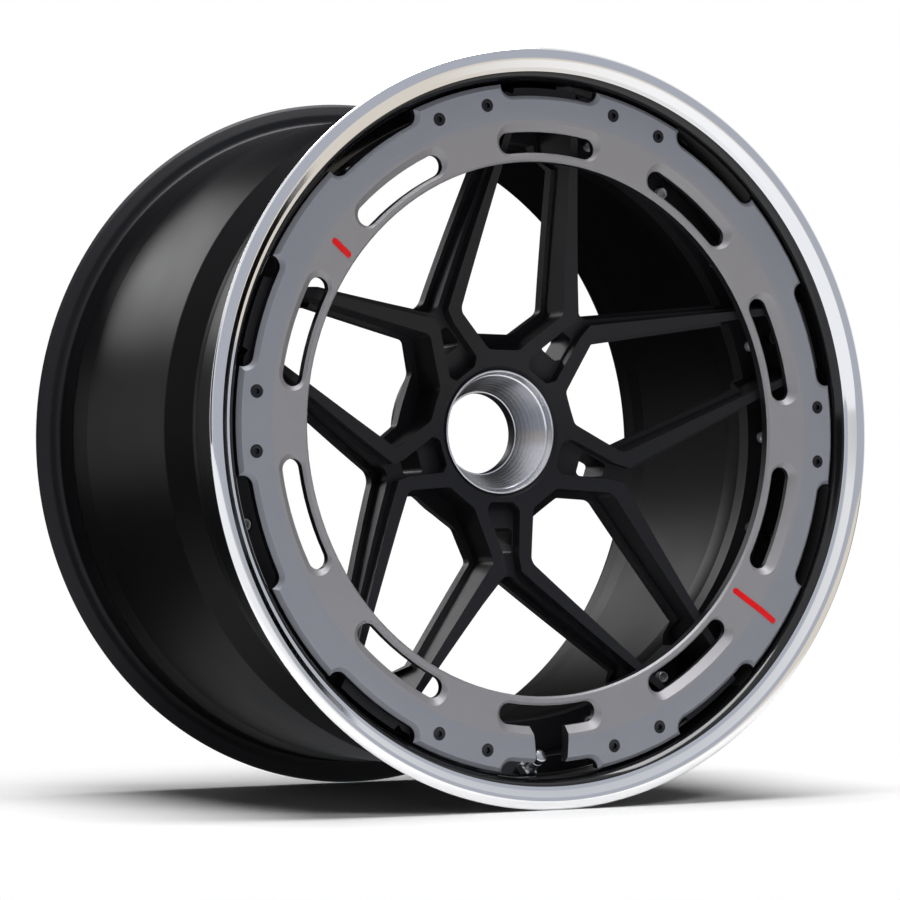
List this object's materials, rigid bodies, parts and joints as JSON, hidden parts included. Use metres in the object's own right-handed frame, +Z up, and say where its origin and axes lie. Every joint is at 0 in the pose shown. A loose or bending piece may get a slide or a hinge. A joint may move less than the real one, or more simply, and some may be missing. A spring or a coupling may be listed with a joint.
{
  "type": "forged wheel",
  "caption": "Three-piece forged centre-lock car wheel with a polished outer lip, black split spokes, a grey slotted ring on the face and a deep black inner barrel.",
  "frame": {"origin": "the wheel's centre: on its axis, halfway between the flange ends", "axes": "Y is the wheel's axis with the face towards -Y, Z is up and the valve is at the bottom"},
  "size_m": [0.543, 0.32, 0.543],
  "materials": {
    "polished_alloy": "mirror polished",
    "black_alloy": "satin black coating",
    "grey_alloy": "satin grey coating",
    "turned_steel": "fine turned",
    "bolt_steel": "bright",
    "black_steel": "black oxide",
    "valve_metal": "bright machined",
    "valve_brass": "plain",
    "seal_rubber": "matt",
    "red_enamel": "gloss enamel"
  },
  "bodies": {
    "root": {"outer_lip": "polished_alloy", "inner_barrel": "black_alloy", "rim_seal": "seal_rubber", "spoke_centre": "black_alloy", "centre_lock_cone": "turned_steel", "drive_pin_bushes": "turned_steel", "aero_ring": "grey_alloy", "accent_bar_long": "red_enamel", "accent_bar_short": "red_enamel", "ring_screws": "black_steel", "ring_inserts": "turned_steel", "assembly_bolts": "bolt_steel", "assembly_washers": "bolt_steel", "assembly_nuts": "bolt_steel", "flange_grub_screws": "bolt_steel", "valve_stem": "valve_metal", "valve_cap": "valve_metal", "valve_core": "valve_brass", "valve_seal": "seal_rubber", "valve_nut": "valve_metal"}
  },
  "joints": []
}
